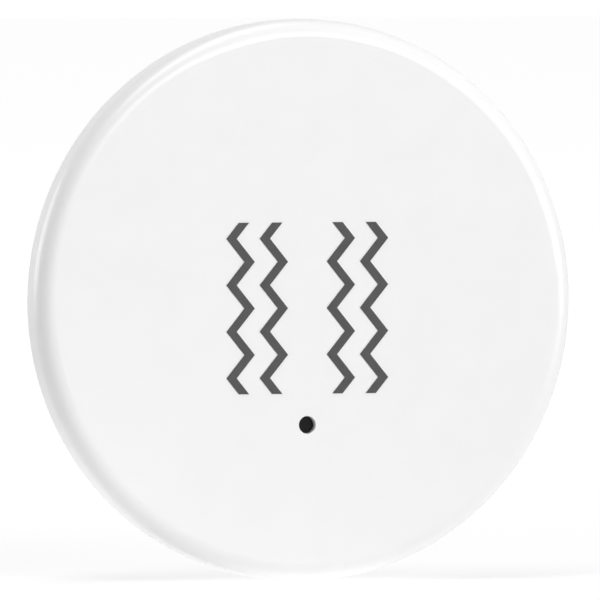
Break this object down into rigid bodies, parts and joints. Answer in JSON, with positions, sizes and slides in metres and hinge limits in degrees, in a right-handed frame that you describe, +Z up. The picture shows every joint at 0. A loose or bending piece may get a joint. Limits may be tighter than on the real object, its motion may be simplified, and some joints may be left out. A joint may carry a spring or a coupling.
{
  "type": "vibration sensor tag",
  "caption": "Round stick-on wireless vibration sensor with a clip-on front cover, printed zigzag marks, a status lamp window, a circuit board and a coin cell.",
  "frame": {"origin": "centre of the adhesive pad's wall side", "axes": "+Y into the wall, so the face looks along -Y; +Z up as the marks stand; +X to the right of someone who looks at the face"},
  "size_m": [0.038, 0.0092, 0.038],
  "materials": {
    "white_shell": "white ABS with a fine moulded texture",
    "grey_print": "grey pad print",
    "smoked_window": "smoked polycarbonate",
    "foam_tape": "acrylic foam tape",
    "silicone": "moulded silicone",
    "board_laminate": "glass-epoxy laminate under green solder mask",
    "screw_steel": "zinc-plated steel",
    "cell_steel": "nickel-plated stainless steel",
    "spring_nickel": "nickel-plated spring sheet",
    "gold_plate": "gold flash over nickel",
    "solder_tin": "tin and solder",
    "chip_resin": "moulded epoxy",
    "black_resin": "moulded nylon",
    "switch_button": "natural nylon",
    "lamp_resin": "clear tinted epoxy",
    "white_ceramic": "fired ceramic",
    "tan_ceramic": "fired ceramic",
    "tantalum_resin": "moulded epoxy",
    "ferrite": "sintered ferrite"
  },
  "bodies": {
    "case": {"adhesive_pad": "foam_tape", "rear_case": "white_shell", "circuit_board": "board_laminate", "board_screws": "screw_steel", "cell_can": "cell_steel", "cell_cap": "cell_steel", "cell_ring": "black_resin", "positive_clip": "spring_nickel", "negative_contact": "gold_plate", "radio_chip": "chip_resin", "radio_leads": "solder_tin", "accelerometer": "chip_resin", "main_crystal": "spring_nickel", "clock_crystal": "spring_nickel", "lamp_base": "white_ceramic", "lamp_lens": "lamp_resin", "chip_antenna": "white_ceramic", "capacitors": "tan_ceramic", "resistors": "black_resin", "component_ends": "solder_tin", "bulk_capacitor": "tantalum_resin", "inductor": "ferrite", "switch_base": "black_resin", "switch_frame": "spring_nickel", "test_pads": "gold_plate", "cover_gasket": "silicone"},
    "cover": {"front_cover": "white_shell", "light_pipe": "smoked_window", "vibration_marks": "grey_print"},
    "plunger": {"switch_plunger": "switch_button"}
  },
  "joints": [
    {"name": "cover_pull", "type": "slide", "parent": "case", "child": "cover", "axis": [0, -1, 0], "range_m": [0, 0.02]},
    {"name": "switch_press", "type": "slide", "parent": "case", "child": "plunger", "axis": [0, 1, 0], "range_m": [0, 0.00025], "stiffness_N_per_m": 6400}
  ]
}
